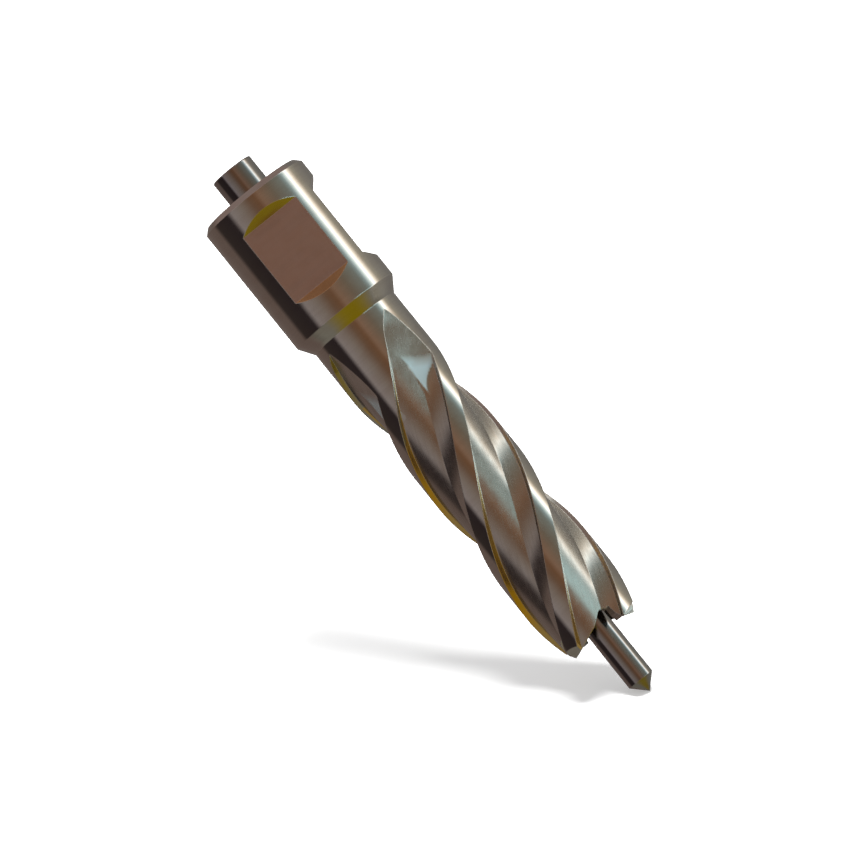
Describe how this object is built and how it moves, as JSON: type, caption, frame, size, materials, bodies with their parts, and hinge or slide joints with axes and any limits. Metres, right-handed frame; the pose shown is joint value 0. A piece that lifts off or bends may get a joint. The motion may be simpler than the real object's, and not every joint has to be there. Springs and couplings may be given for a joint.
{
  "type": "annular cutter",
  "caption": "Hollow metal-drilling cutter with a flatted shank, helical flutes, ground teeth at the mouth and a sliding stepped pilot pin.",
  "frame": {"origin": "on the tool's axis, level with the middle of the two clamping flats", "axes": "+Z along the axis from the teeth towards the shank's end face, -Y out of the front clamping flat, +X out of the other"},
  "size_m": [0.019, 0.019, 0.1045],
  "materials": {
    "cutter_steel": "ground high-speed steel, brushed along the flutes, warm grey",
    "pin_steel": "fine turned and polished steel, warm grey"
  },
  "bodies": {
    "cutter": {"cutter_body": "cutter_steel"},
    "pilot": {"pilot_pin": "pin_steel"}
  },
  "joints": [
    {"name": "pilot_slide", "type": "slide", "parent": "cutter", "child": "pilot", "axis": [0, 0, 1], "range_m": [0, 0.061]}
  ]
}
